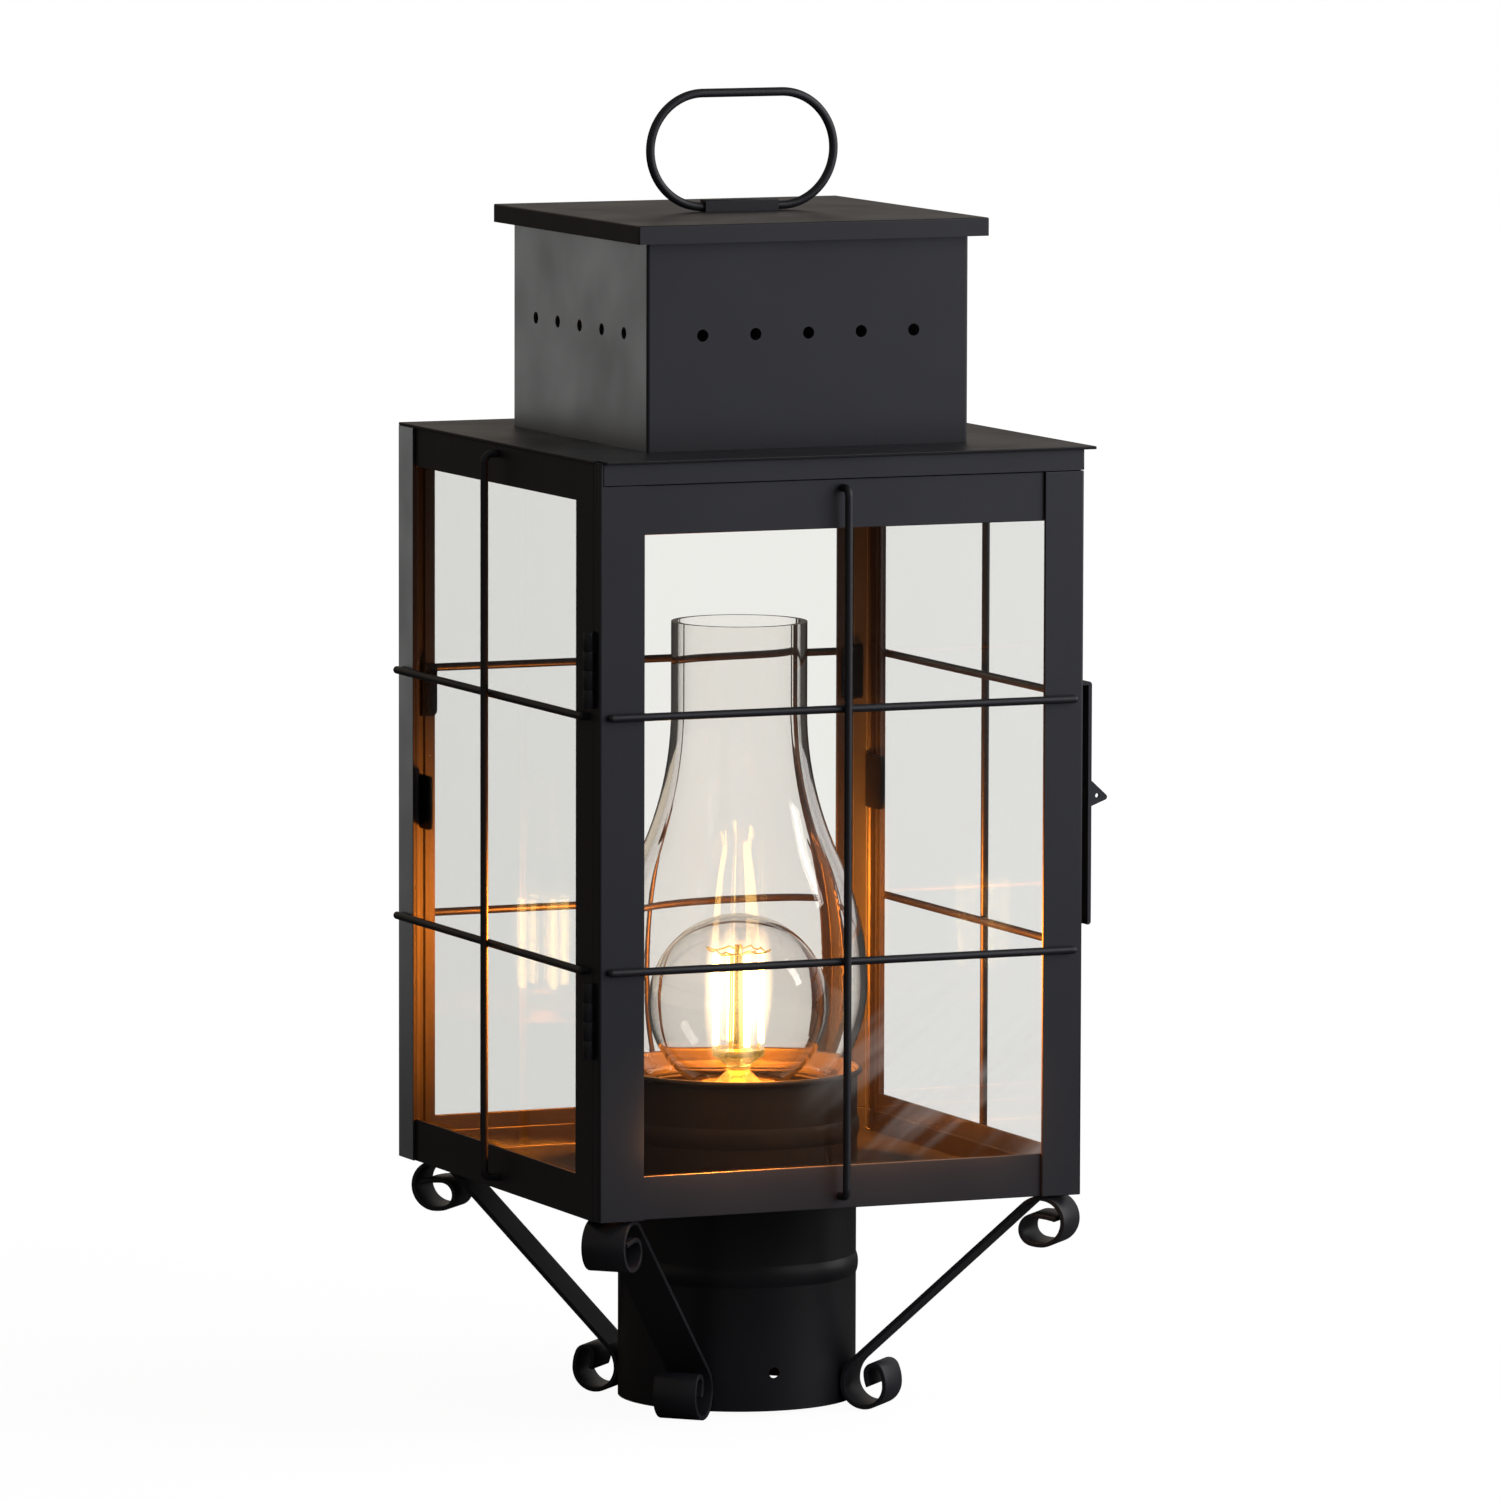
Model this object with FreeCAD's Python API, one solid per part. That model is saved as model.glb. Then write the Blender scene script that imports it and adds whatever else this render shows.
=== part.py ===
import FreeCAD, Part
import math
import os

os.makedirs("parts", exist_ok=True)

V = FreeCAD.Vector
near = 0.01               # edges closer than this to a plane count as on it

# Lantern body, millimetres. The origin is the centre of the fitter mouth.
# x runs to the right of the door, the door faces -y, z is up.
floor_z = 73.0            # underside of the body above the fitter mouth
body_height = 245.4       # floor underside to roof underside
side_half = 85.6          # outer face of a side panel
front_half = 86.0         # outer face of the door stiles
back_half = 86.0          # outer face of the back panel
sheet = 1.0               # body sheet
door_sheet = 1.2          # door sheet
contact_gap = 0.3         # between pieces that move past each other
past = 1.0                # how far a cutting shape reaches past the metal

# Windows and edges of the sheet work.
side_window_inset = 20.0  # side window's front edge behind the door's face
side_rail_bottom = 14.0
side_rail_top = 12.8
back_window_inset = 13.1
back_rail_bottom = 13.2
back_rail_top = 15.0
wrap_depth = 13.5         # back panel round the rear corners
door_flange = 9.6         # inward flange the door closes against
door_depth = 5.4          # from the door's face back to the side panels
hem_depth = 13.1          # doubled sheet behind the flange
pan_flange = 8.0
pan_inset = 1.6           # floor pan behind the panels' front edges
header_flange = 10.0      # reach of the header behind the panel edges
header_stop = 10.0        # the header's stop for the door, down from the roof
angle_side_leg = 11.0
angle_back_leg = 6.1

# Roof, stack and cap.
roof_lip = 2.4            # over the door
roof_lip_right = 3.2
roof_lip_left = 0.7
vent_half = 50.0          # square vent in the roof
stack_half = 56.9
stack_height = 72.6
stack_hole_pitch = 18.7
stack_hole_diameter = 4.0
stack_hole_rise = 37.3    # row of holes above the roof
stack_hole_count = 5
cap_half = 62.0
cap_flange = 6.0
bend_radius = 1.0

# Ring and strap.
wire_radius = 1.45
ring_half_length = 34.2
ring_height = 40.2
strap_half = 13.0
strap_sheet = 0.8
ring_play = 0.1
ring_shift = 0.9          # ring lies this far to the right in its strap

# Door.
door_gap = 0.3
header_height = 6.8
return_depth = 5.0
stile_width_left = 15.7
stile_width_right = 14.0
door_rail_bottom = 14.1
door_rail_top = 16.0
door_bend = 0.8
return_rise = 7.6         # the left return reaches up past the header
pane_thickness = 2.0
pane_lap = 4.5
pane_lap_ends = 7.5
rail_end_gap = 0.5

# Panes in the body.
pane_front_inset = 4.6    # side pane behind the panels' front edges
pane_rear_inset = 8.0     # side pane before the back panel's outer face
pane_head_gap = 10.4      # pane's upper edge under the roof
back_pane_inset = 8.6

# Glass clips.
clip_sheet = 0.8
clip_half = 9.0
clip_corner = 2.0
clip_edge_gap = 0.3
rear_clip_lap = 12.0
rear_clip_foot = 4.5
front_clip_lap = 8.0
side_clip_z = 193.5
back_clip_lap = 4.0
back_clip_foot = 3.3
back_clip_z = 230.0
door_clip_lap = 6.0
door_clip_foot = 3.5

# Guards.
guard_radius = 1.3
rod_upper_z = 236.8
rod_lower_z = 154.4
rod_end_inset = 2.6
bar_end_bottom = 2.8
bar_end_top = 1.6
bar_bend = 2.6

# Hinges.
hinge_height = 24.6
hinge_upper_z = 239.8
hinge_lower_z = 126.2
barrel_radius = 1.8
pin_radius = 0.9
pin_clearance = 0.05
leaf_sheet = 0.8
leaf_gap = 0.1
leaf_width = 8.0
leaf_edge_gap = 0.5       # leaf plate beyond its barrel
leaf_slot_gap = 0.2
knuckle_count = 4
knuckle_gap = 0.2

# Latch strap.
latch_bottom = 162.0
latch_height = 80.0
latch_sheet = 1.2
latch_standoff = 2.8
latch_inset = 2.0         # latch behind the door's face
latch_depth = 8.0
latch_play = 0.05
latch_bend = 1.1
latch_rod_gap = 1.5
ear_reach = 6.5
ear_height = 8.4
ear_rise = 39.0
ear_tip_rise = 2.5
ear_tip_radius = 1.0
ear_hole = 1.5
ear_hole_out = 2.1
ear_hole_rise = 3.4

# Post fitter.
fitter_radius = 39.5
fitter_wall = 0.9
fitter_top = 108.6
fitter_bead_z = 44.5
inner_bead_z = 90.2
bead_height = 7.0
bead_swell = 0.7
rim_roll = 1.0
screw_hole = 3.6
screw_hole_z = 12.7
screw_angle = -95.0
screw_count = 2

# Lamp inside.
bracket_z = 52.0
bracket_sheet = 1.2
bracket_half_width = 8.0
bracket_tab = 8.0
holder_radius = 18.0
holder_height = 38.8
holder_bore_clearance = 0.4
holder_floor = 12.8
cap_radius = 13.1
cap_height = 25.0
bulb_radius = 30.0
bulb_centre_z = 130.2
bulb_neck_radius = 15.5
bulb_wall = 0.8
filament_radius = 0.9
filament_circle = 8.0
filament_bottom = 116.0
filament_top = 148.5
filament_angle = -2.7
filament_count = 4
filament_end = 0.5        # bare wire at each end of a filament
lead_radius = 0.35
hub_radius = 1.6
stem_foot_radius = 9.0
stem_foot_height = 12.0
stem_waist_radius = 4.0
stem_waist_low = 17.0
stem_waist_high = 19.0
stem_bowl_radius = 8.8
stem_bowl_height = 2.0
stem_post_radius = 1.6
stem_tip_radius = 1.2
stem_tip_height = 1.5

# Chimney glass.
seat_z = 102.6
seat_sheet = 0.8
seat_wall = 2.4
seat_inner = 29.0
seat_clearance = 1.6
chimney_wall = 2.2
chimney_top = 257.6
chimney_neck_z = 228.0
chimney_neck_r = 22.5
chimney_turn_share = 0.53 # where the shoulder turns, on the way to the belly
chimney_belly_z = 137.0
chimney_belly_r = 42.7
chimney_collar = 2.0
chimney_base_r = 31.6

# Scroll brackets, drawn in the plane of a diagonal.
scroll_sheet = 1.5
scroll_width = 15.0
scroll_drop = 1.5         # lowest point under the fitter mouth
scroll_gap = 0.15
scroll_inset_front = 11.5 # upper curl's middle from the corner of the body
scroll_inset_back = 15.5
scroll_high_radius = 8.5
scroll_low_radius = 8.4
# Arcs of a curl from the strip to its tip: the radius of the strip's outer face as a share
# of the curl's own, and the direction, in degrees up from outwards, in which that face
# looks where the arc ends. The second arc has the curl's own radius.
high_curl_share = (1.1, 1.0, 1.9, 0.64, 3.5)
high_curl_angle = (90.0, -90.0, -102.0, -270.0, -285.0)
low_curl_share = (1.3, 1.0, 0.95, 1.65, 0.43, 1.4)
low_curl_angle = (180.0, 270.0, 360.0, 384.0, 540.0, 564.0)

# Derived levels and planes. Names in _front are distances towards -y.
panel_front = front_half - door_depth
side_window_front = front_half - side_window_inset
back_window_half = side_half - back_window_inset
window_left = -(side_half - stile_width_left)
window_right = side_half - stile_width_right
pan_front = panel_front - pan_inset
pane_front = panel_front - pane_front_inset
pane_rear = back_half - pane_rear_inset
back_pane_half = side_half - back_pane_inset
pane_low = floor_z + sheet
pane_high = floor_z + body_height - pane_head_gap
latch_front = front_half - latch_inset
top_z = floor_z + body_height
roof_top = top_z + sheet
door_bottom = floor_z + door_gap
door_top = top_z - header_height - door_gap
side_in = side_half - sheet
pane_plane = side_in - sheet
back_in = back_half - sheet
back_plane = back_in - sheet
rail_back = front_half - 2 * door_sheet
bar_stand = 3 * guard_radius
wrap_out = side_half + sheet
cap_z = roof_top + stack_height
cap_top = cap_z + sheet
hinge_x = -(side_half + barrel_radius)
hinge_y = -(panel_front + leaf_sheet + leaf_gap / 2)
leaf_edge = hinge_x + barrel_radius + leaf_edge_gap
fitter_bore = fitter_radius - fitter_wall


def box(x0, x1, y0, y1, z0, z1):
    return Part.makeBox(x1 - x0, y1 - y0, z1 - z0, V(x0, y0, z0))


def rod(radius, start, end):
    way = end - start
    return Part.makeCylinder(radius, way.Length, start, way)


def ball(radius, at):
    return Part.makeSphere(radius, at)


def join(shapes):
    return shapes[0].multiFuse(shapes[1:]).removeSplitter()


def mirrored(shape):
    return shape.mirror(V(0, 0, 0), V(1, 0, 0))


def turned(shape, angle):
    copy = shape.copy()
    copy.rotate(V(0, 0, 0), V(0, 0, 1), angle)
    return copy


def rounded(shape, radius, wanted):
    edges = [edge for edge in shape.Edges if wanted(edge.BoundBox)]
    return shape.makeFillet(radius, edges)


def upright_at(x, y):
    def wanted(b):
        thin = b.XLength < near and b.YLength < near
        return thin and abs(b.XMin - x) < near and abs(b.YMin - y) < near
    return wanted


def save(name, shape):
    solid = shape.Solids[0] if len(shape.Solids) == 1 else shape
    solid.exportStep("parts/" + name + ".step")


# Roof, stack, cap and ring.

def roof_plate():
    notch_x = -(side_half - door_sheet - contact_gap)
    left = -side_half - roof_lip_left
    plate = box(left, side_half + roof_lip_right, -(front_half + roof_lip), back_half,
                top_z, roof_top)
    vent = box(-vent_half, vent_half, -vent_half, vent_half, top_z - past, roof_top + past)
    notch = box(left - past, notch_x, -(front_half + roof_lip) - past, -panel_front,
                top_z - past, roof_top + past)
    return plate.cut(vent).cut(notch)


def stack_holes():
    reach = stack_half + past
    holes = []
    for i in range(stack_hole_count):
        offset = (i - (stack_hole_count - 1) / 2) * stack_hole_pitch
        z = roof_top + stack_hole_rise
        radius = stack_hole_diameter / 2
        holes.append(rod(radius, V(offset, -reach, z), V(offset, reach, z)))
        holes.append(rod(radius, V(-reach, offset, z), V(reach, offset, z)))
    return holes


def vent_stack():
    h = stack_half
    tube = box(-h, h, -h, h, roof_top, cap_z)
    tube = rounded(tube, bend_radius, lambda b: b.ZLength > stack_height / 2)
    inner = h - sheet
    tube = tube.cut(box(-inner, inner, -inner, inner, roof_top - past, cap_z + past))
    for hole in stack_holes():
        tube = tube.cut(hole)
    return tube


def stack_cap():
    h = cap_half
    lid = box(-h, h, -h, h, cap_top - cap_flange, cap_top)
    lid = rounded(lid, bend_radius / 2, lambda b: b.ZMax > cap_top - near)
    inner = h - sheet
    return lid.cut(box(-inner, inner, -inner, inner, cap_top - cap_flange - past, cap_z))


def ring_centre_z():
    return cap_top + ring_play + wire_radius


def ring_strap():
    inner = wire_radius + ring_play
    tall = ring_centre_z() + inner
    half = inner + strap_sheet
    outer = box(-strap_half, strap_half, -half, half, cap_top, tall + strap_sheet)
    outer = rounded(outer, strap_sheet / 2, lambda b: b.ZMin > tall and b.XLength > strap_half)
    return outer.cut(box(-strap_half - past, strap_half + past, -inner, inner,
                         cap_top - past, tall))


def carry_ring():
    bend = ring_height / 2 - wire_radius
    half = ring_half_length - ring_height / 2
    low = ring_centre_z()
    high = low + 2 * bend
    mid = low + bend
    path = Part.Wire([
        Part.makeLine(V(-half, 0, low), V(half, 0, low)),
        Part.Arc(V(half, 0, low), V(half + bend, 0, mid), V(half, 0, high)).toShape(),
        Part.makeLine(V(half, 0, high), V(-half, 0, high)),
        Part.Arc(V(-half, 0, high), V(-half - bend, 0, mid), V(-half, 0, low)).toShape(),
    ])
    section = Part.Wire(Part.makeCircle(wire_radius, V(-half, 0, low), V(1, 0, 0)))
    ring = path.makePipeShell([section], True, False)
    ring.translate(V(ring_shift, 0, 0))
    return ring


# Sheet work of the body.

def header_strip():
    left = -(side_half - door_sheet - contact_gap)
    low = door_top + door_gap
    web = box(left, side_half, -front_half, -front_half + sheet, low, top_z)
    end = box(side_half - sheet, side_half, -front_half, -panel_front - door_gap, low, top_z)
    flange = box(left, side_in, -front_half, -panel_front + header_flange,
                 top_z - sheet, top_z)
    stop_half = side_half - door_flange - contact_gap
    stop = box(-stop_half, stop_half, -panel_front, -panel_front + sheet,
               top_z - header_stop, top_z)
    strip = join([web, end, flange, stop])
    return rounded(strip, bend_radius / 2, upright_at(side_half, -front_half))


def left_panel():
    side = box(-side_half, -side_in, -panel_front, back_in, floor_z, top_z)
    window = box(-side_half - past, -side_in + past, -side_window_front,
                 back_half - wrap_depth, floor_z + side_rail_bottom, top_z - side_rail_top)
    flange = box(-side_half, -side_half + door_flange, -panel_front, -panel_front + sheet,
                 floor_z, top_z - sheet)
    hem_rear = -panel_front + sheet + hem_depth
    hem = box(-side_in, -pane_plane, -panel_front + sheet, hem_rear,
              floor_z + pan_flange, top_z - sheet)
    return join([side.cut(window), flange, hem])


def back_panel():
    outer = box(-wrap_out, wrap_out, back_half - wrap_depth, back_half, floor_z, top_z)
    outer = rounded(outer, bend_radius, upright_at(-wrap_out, back_half))
    outer = rounded(outer, bend_radius, upright_at(wrap_out, back_half))
    inner = box(-side_half, side_half, back_half - wrap_depth - past, back_in,
                floor_z - past, top_z + past)
    window = box(-back_window_half, back_window_half, back_in - past, back_half + past,
                 floor_z + back_rail_bottom, top_z - back_rail_top)
    return outer.cut(inner).cut(window)


def floor_pan():
    pan = box(-side_in, side_in, -pan_front, back_in, floor_z, floor_z + pan_flange)
    well = box(-pane_plane, pane_plane, -pan_front + sheet, back_plane,
               floor_z + sheet, floor_z + pan_flange + past)
    hole = Part.makeCylinder(fitter_radius, sheet + 2 * past, V(0, 0, floor_z - past))
    return pan.cut(well).cut(hole)


def corner_angle():
    low = floor_z + pan_flange
    high = top_z - sheet
    side = box(-side_in, -pane_plane, back_in - angle_side_leg, back_in, low, high)
    back = box(-side_in, -side_in + angle_back_leg, back_plane, back_in, low, high)
    return join([side, back])


# Panes and their clips.

def side_pane():
    return box(-pane_plane, -pane_plane + pane_thickness, -pane_front, pane_rear,
               pane_low, pane_high)


def back_pane():
    return box(-back_pane_half, back_pane_half, back_plane - pane_thickness, back_plane,
               pane_low, pane_high)


def clip(lap, foot):
    # Edge of the pane along z at x = 0, pane towards +x, its outer face at y = 0.
    gap = clip_edge_gap
    half = clip_half
    sill = box(-gap - clip_sheet - foot, -gap, -clip_sheet, 0, -half, half)
    riser = box(-gap - clip_sheet, -gap, -pane_thickness - clip_sheet, 0, -half, half)
    tab = box(-gap - clip_sheet, lap, -pane_thickness - clip_sheet, -pane_thickness,
              -half, half)
    shape = join([sill, riser, tab])

    def tip(b):
        return abs(b.XMin - lap) < near and b.XLength < near and b.ZLength < near
    return rounded(shape, clip_corner, tip)


def placed(shape, x_way, y_way, at):
    z_way = x_way.cross(y_way)
    matrix = FreeCAD.Matrix(x_way.x, y_way.x, z_way.x, at.x,
                            x_way.y, y_way.y, z_way.y, at.y,
                            x_way.z, y_way.z, z_way.z, at.z,
                            0, 0, 0, 1)
    copy = shape.copy()
    copy.Placement = FreeCAD.Placement(matrix)
    return copy


def side_rear_clip():
    shape = clip(rear_clip_lap, rear_clip_foot)
    return placed(shape, V(0, -1, 0), V(-1, 0, 0), V(-pane_plane, pane_rear, side_clip_z))


def side_front_clip():
    foot = panel_front - sheet - contact_gap - pane_front - clip_edge_gap - clip_sheet
    shape = clip(front_clip_lap, foot)
    return placed(shape, V(0, 1, 0), V(-1, 0, 0), V(-pane_plane, -pane_front, side_clip_z))


def back_clip():
    shape = clip(back_clip_lap, back_clip_foot)
    return placed(shape, V(1, 0, 0), V(0, 1, 0), V(-back_pane_half, back_plane, back_clip_z))


# Wire guards.

def plain_rod(half, y, z):
    start = V(-half, y, z)
    end = V(half, y, z)
    return join([rod(guard_radius, start, end), ball(guard_radius, start),
                 ball(guard_radius, end)])


def side_rod(z, front_y):
    # Lies on the wrap of the back panel, its front end bent in to the side panel.
    x = -(wrap_out + guard_radius)
    rear = V(x, back_half - rod_end_inset, z)
    front = V(x, front_y, z)
    foot = V(-side_half, front.y, z)
    return join([rod(guard_radius, front, rear), ball(guard_radius, rear),
                 ball(guard_radius, front), rod(guard_radius, front, foot)])


def staple(low, high, reach):
    # Upright wire at x = 0, both ends bent towards +y to the plane y = 0.
    r = guard_radius
    bend = bar_bend
    y = -reach
    z0 = low + r
    z1 = high - r
    c = bend * (1 - math.sqrt(0.5))
    path = Part.Wire([
        Part.makeLine(V(0, 0, z0), V(0, y + bend, z0)),
        Part.Arc(V(0, y + bend, z0), V(0, y + c, z0 + c), V(0, y, z0 + bend)).toShape(),
        Part.makeLine(V(0, y, z0 + bend), V(0, y, z1 - bend)),
        Part.Arc(V(0, y, z1 - bend), V(0, y + c, z1 - c), V(0, y + bend, z1)).toShape(),
        Part.makeLine(V(0, y + bend, z1), V(0, 0, z1)),
    ])
    section = Part.Wire(Part.makeCircle(r, V(0, 0, z0), V(0, 1, 0)))
    return path.makePipeShell([section], True, False)


def door_bar():
    bar = staple(door_bottom + bar_end_bottom, door_top - bar_end_top,
                 bar_stand + door_sheet)
    bar.translate(V(0, -(front_half - door_sheet), 0))
    return bar


def back_bar():
    bar = staple(floor_z + bar_end_bottom, top_z - bar_end_top, bar_stand)
    bar = turned(bar, 180)
    bar.translate(V(0, back_half, 0))
    return bar


def side_bar():
    bar = staple(floor_z + bar_end_bottom, top_z - bar_end_top, bar_stand + sheet)
    bar = turned(bar, -90)
    bar.translate(V(-side_half, 0, 0))
    return bar


# Door with its hinges and latch.

def stile_left(width, notched):
    x0 = -side_half
    y0 = -front_half
    t = door_sheet
    face = box(x0, x0 + width, y0, y0 + t, door_bottom, door_top)
    rise = door_top + (return_rise if notched else 0.0)
    edge = box(x0, x0 + t, y0, y0 + return_depth, door_bottom, rise)
    shape = join([face, edge])
    shape = rounded(shape, door_bend, upright_at(x0, y0))
    if notched:
        shape = rounded(shape, door_bend / 2, lambda b: b.ZMin > rise - near
                        and b.YLength < near and abs(b.XLength - t) < near
                        and b.YMin > y0 + t)
        cut_y = hinge_y - leaf_gap / 2 - leaf_sheet - leaf_slot_gap
        for z in (hinge_lower_z, hinge_upper_z):
            shape = shape.cut(box(x0 - past, x0 + t + past, cut_y, y0 + return_depth + past,
                                  z - leaf_slot_gap, z + hinge_height + leaf_slot_gap))
    return shape


def door_rail(z0, z1):
    half = side_half - door_sheet - rail_end_gap
    return box(-half, half, -front_half + door_sheet, -rail_back, z0, z1)


def door_pane():
    low = door_bottom + door_rail_bottom - pane_lap_ends
    high = door_top - door_rail_top + pane_lap_ends
    return box(window_left - pane_lap, window_right + pane_lap, -rail_back,
               -rail_back + pane_thickness, low, high)


def door_clip(top):
    pane = door_pane().BoundBox
    shape = clip(door_clip_lap, door_clip_foot)
    if top:
        return placed(shape, V(0, 0, -1), V(0, -1, 0), V(0, -rail_back, pane.ZMax))
    return placed(shape, V(0, 0, 1), V(0, -1, 0), V(0, -rail_back, pane.ZMin))


def hinge_knuckles(z0, first, bore):
    tall = (hinge_height - (knuckle_count - 1) * knuckle_gap) / knuckle_count
    spans = []
    for i in range(first, knuckle_count, 2):
        low = z0 + i * (tall + knuckle_gap)
        spans.append((low, low + tall))
    barrels = [Part.makeCylinder(barrel_radius, b - a, V(hinge_x, hinge_y, a))
               for a, b in spans]
    hole = Part.makeCylinder(bore, hinge_height + 2 * past, V(hinge_x, hinge_y, z0 - past))
    return spans, barrels, hole


def fixed_leaf(z0):
    spans, parts, hole = hinge_knuckles(z0, 0, pin_radius)
    y0 = hinge_y + leaf_gap / 2
    y1 = y0 + leaf_sheet
    for a, b in spans:
        parts.append(box(hinge_x, leaf_edge + leaf_edge_gap, y0, y1, a, b))
    parts.append(box(leaf_edge, leaf_edge + leaf_width, y0, y1, z0, z0 + hinge_height))
    return join(parts).cut(hole)


def door_leaf(z0):
    spans, parts, hole = hinge_knuckles(z0, 1, pin_radius + pin_clearance)
    y1 = hinge_y - leaf_gap / 2
    y0 = y1 - leaf_sheet
    inner = -side_half + door_sheet
    for a, b in spans:
        parts.append(box(hinge_x, leaf_edge + leaf_edge_gap, y0, y1, a, b))
    parts.append(box(leaf_edge, inner + leaf_sheet, y0, y1, z0, z0 + hinge_height))
    parts.append(box(inner, inner + leaf_sheet, -front_half + door_sheet + leaf_edge_gap, y1,
                     z0, z0 + hinge_height))
    return join(parts).cut(hole)


def hinge_pin(z0):
    return Part.makeCylinder(pin_radius, hinge_height, V(hinge_x, hinge_y, z0))


def latch():
    face = side_half + latch_standoff
    out = face + latch_sheet
    y0 = -latch_front
    y1 = y0 + latch_depth
    z0 = latch_bottom
    z1 = z0 + latch_height
    strip = box(face, out, y0, y1, z0, z1)
    foot = box(side_half + latch_play, out, -panel_front + contact_gap, y1,
               z0, z0 + latch_sheet)
    head = box(side_half + contact_gap, out, y0, y1, z1 - latch_sheet, z1)
    shape = join([strip, foot, head])

    def bend(b):
        level = abs(b.ZMin - z1) < near or abs(b.ZMax - z0) < near
        return level and abs(b.XMin - out) < near and b.XLength < near
    shape = rounded(shape, latch_bend, bend)
    ear_z = z0 + ear_rise
    wire = Part.makePolygon([V(face, y0, ear_z), V(out, y0, ear_z),
                             V(out + ear_reach, y0, ear_z + ear_tip_rise),
                             V(out, y0, ear_z + ear_height),
                             V(face, y0, ear_z + ear_height), V(face, y0, ear_z)])
    ear = Part.Face(wire).extrude(V(0, latch_sheet, 0))

    def tip(b):
        return b.XLength < near and b.XMin > out + ear_reach - near
    ear = rounded(ear, ear_tip_radius, tip)
    x = out + ear_hole_out
    z = ear_z + ear_hole_rise
    hole = rod(ear_hole / 2, V(x, y0 - past, z), V(x, y0 + latch_sheet + past, z))
    return join([shape, ear]).cut(hole)


# Post fitter, lamp and chimney.

def arc_between(p0, p1, p2):
    return Part.Arc(p0, p1, p2).toShape()


def bead(r, z):
    half = bead_height / 2
    return arc_between(V(r, 0, z - half), V(r + bead_swell, 0, z), V(r, 0, z + half))


def tube_side(r):
    half = bead_height / 2
    return [Part.makeLine(V(r, 0, 0), V(r, 0, fitter_bead_z - half)),
            bead(r, fitter_bead_z),
            Part.makeLine(V(r, 0, fitter_bead_z + half), V(r, 0, inner_bead_z - half)),
            bead(r, inner_bead_z),
            Part.makeLine(V(r, 0, inner_bead_z + half), V(r, 0, fitter_top))]


def revolved(edges):
    wire = Part.Wire(Part.__sortEdges__(edges))
    return Part.Face(wire).revolve(V(0, 0, 0), V(0, 0, 1), 360)


def post_fitter():
    outer = tube_side(fitter_radius)
    inner = tube_side(fitter_bore)
    ends = [Part.makeLine(V(fitter_bore, 0, 0), V(fitter_radius, 0, 0)),
            Part.makeLine(V(fitter_bore, 0, fitter_top), V(fitter_radius, 0, fitter_top))]
    tube = revolved(outer + inner + ends)
    roll = Part.makeTorus(fitter_radius + rim_roll / 2, rim_roll, V(0, 0, fitter_top))
    tube = join([tube, roll])
    for i in range(screw_count):
        angle = math.radians(screw_angle + i * 360.0 / screw_count)
        out = V(math.cos(angle), math.sin(angle), 0)
        base = V(0, 0, screw_hole_z)
        tube = tube.cut(rod(screw_hole / 2, base + out * (fitter_bore - past),
                            base + out * (fitter_radius + past)))
    return tube


def lamp_bracket():
    r = fitter_bore
    w = bracket_half_width
    strap = box(-r, r, -w, w, bracket_z, bracket_z + bracket_sheet)
    tabs = box(-r, r, -w, w, bracket_z, bracket_z + bracket_tab)
    tabs = tabs.cut(Part.makeCylinder(r - bracket_sheet, bracket_tab, V(0, 0, bracket_z)))
    return join([strap, tabs]).common(Part.makeCylinder(r, bracket_tab, V(0, 0, bracket_z)))


def holder_base():
    return bracket_z + bracket_sheet


def lampholder():
    low = holder_base()
    body = Part.makeCylinder(holder_radius, holder_height, V(0, 0, low))
    bore = Part.makeCylinder(cap_radius + holder_bore_clearance, holder_height,
                             V(0, 0, low + holder_floor))
    return body.cut(bore)


def bulb_foot():
    return holder_base() + holder_floor


def bulb_cap():
    return Part.makeCylinder(cap_radius, cap_height, V(0, 0, bulb_foot()))


def bulb_side(radius, neck, low, foot):
    # Straight neck from the cap, then the globe up to its pole.
    drop = math.sqrt(radius * radius - neck * neck)
    z = bulb_centre_z - drop
    start = -math.asin(drop / radius)
    half = (start + math.pi / 2) / 2
    mid = V(radius * math.cos(half), 0, bulb_centre_z + radius * math.sin(half))
    return [Part.makeLine(V(foot, 0, low), V(neck, 0, z)),
            arc_between(V(neck, 0, z), mid, V(0, 0, bulb_centre_z + radius))]


def bulb_glass():
    low = bulb_foot() + cap_height
    w = bulb_wall
    outer = bulb_side(bulb_radius, bulb_neck_radius, low, cap_radius)
    inner = bulb_side(bulb_radius - w, bulb_neck_radius - w, low, cap_radius - w)
    top = bulb_centre_z + bulb_radius
    ends = [Part.makeLine(V(cap_radius - w, 0, low), V(cap_radius, 0, low)),
            Part.makeLine(V(0, 0, top - w), V(0, 0, top))]
    return revolved(outer + inner + ends)


def bulb_stem():
    # Flared foot, waist, bowl and thin post up to the filaments' upper ends.
    low = bulb_foot() + cap_height
    bowl = filament_bottom - filament_end
    tip = filament_top + stem_tip_height
    outline = [V(0, 0, low),
               V(stem_foot_radius, 0, low),
               V(stem_foot_radius, 0, low + stem_foot_height),
               V(stem_waist_radius, 0, low + stem_waist_low),
               V(stem_waist_radius, 0, low + stem_waist_high),
               V(stem_bowl_radius, 0, bowl - stem_bowl_height),
               V(stem_bowl_radius, 0, bowl),
               V(stem_post_radius, 0, bowl),
               V(stem_tip_radius, 0, tip),
               V(0, 0, tip),
               V(0, 0, low)]
    return Part.Face(Part.makePolygon(outline)).revolve(V(0, 0, 0), V(0, 0, 1), 360)


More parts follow.
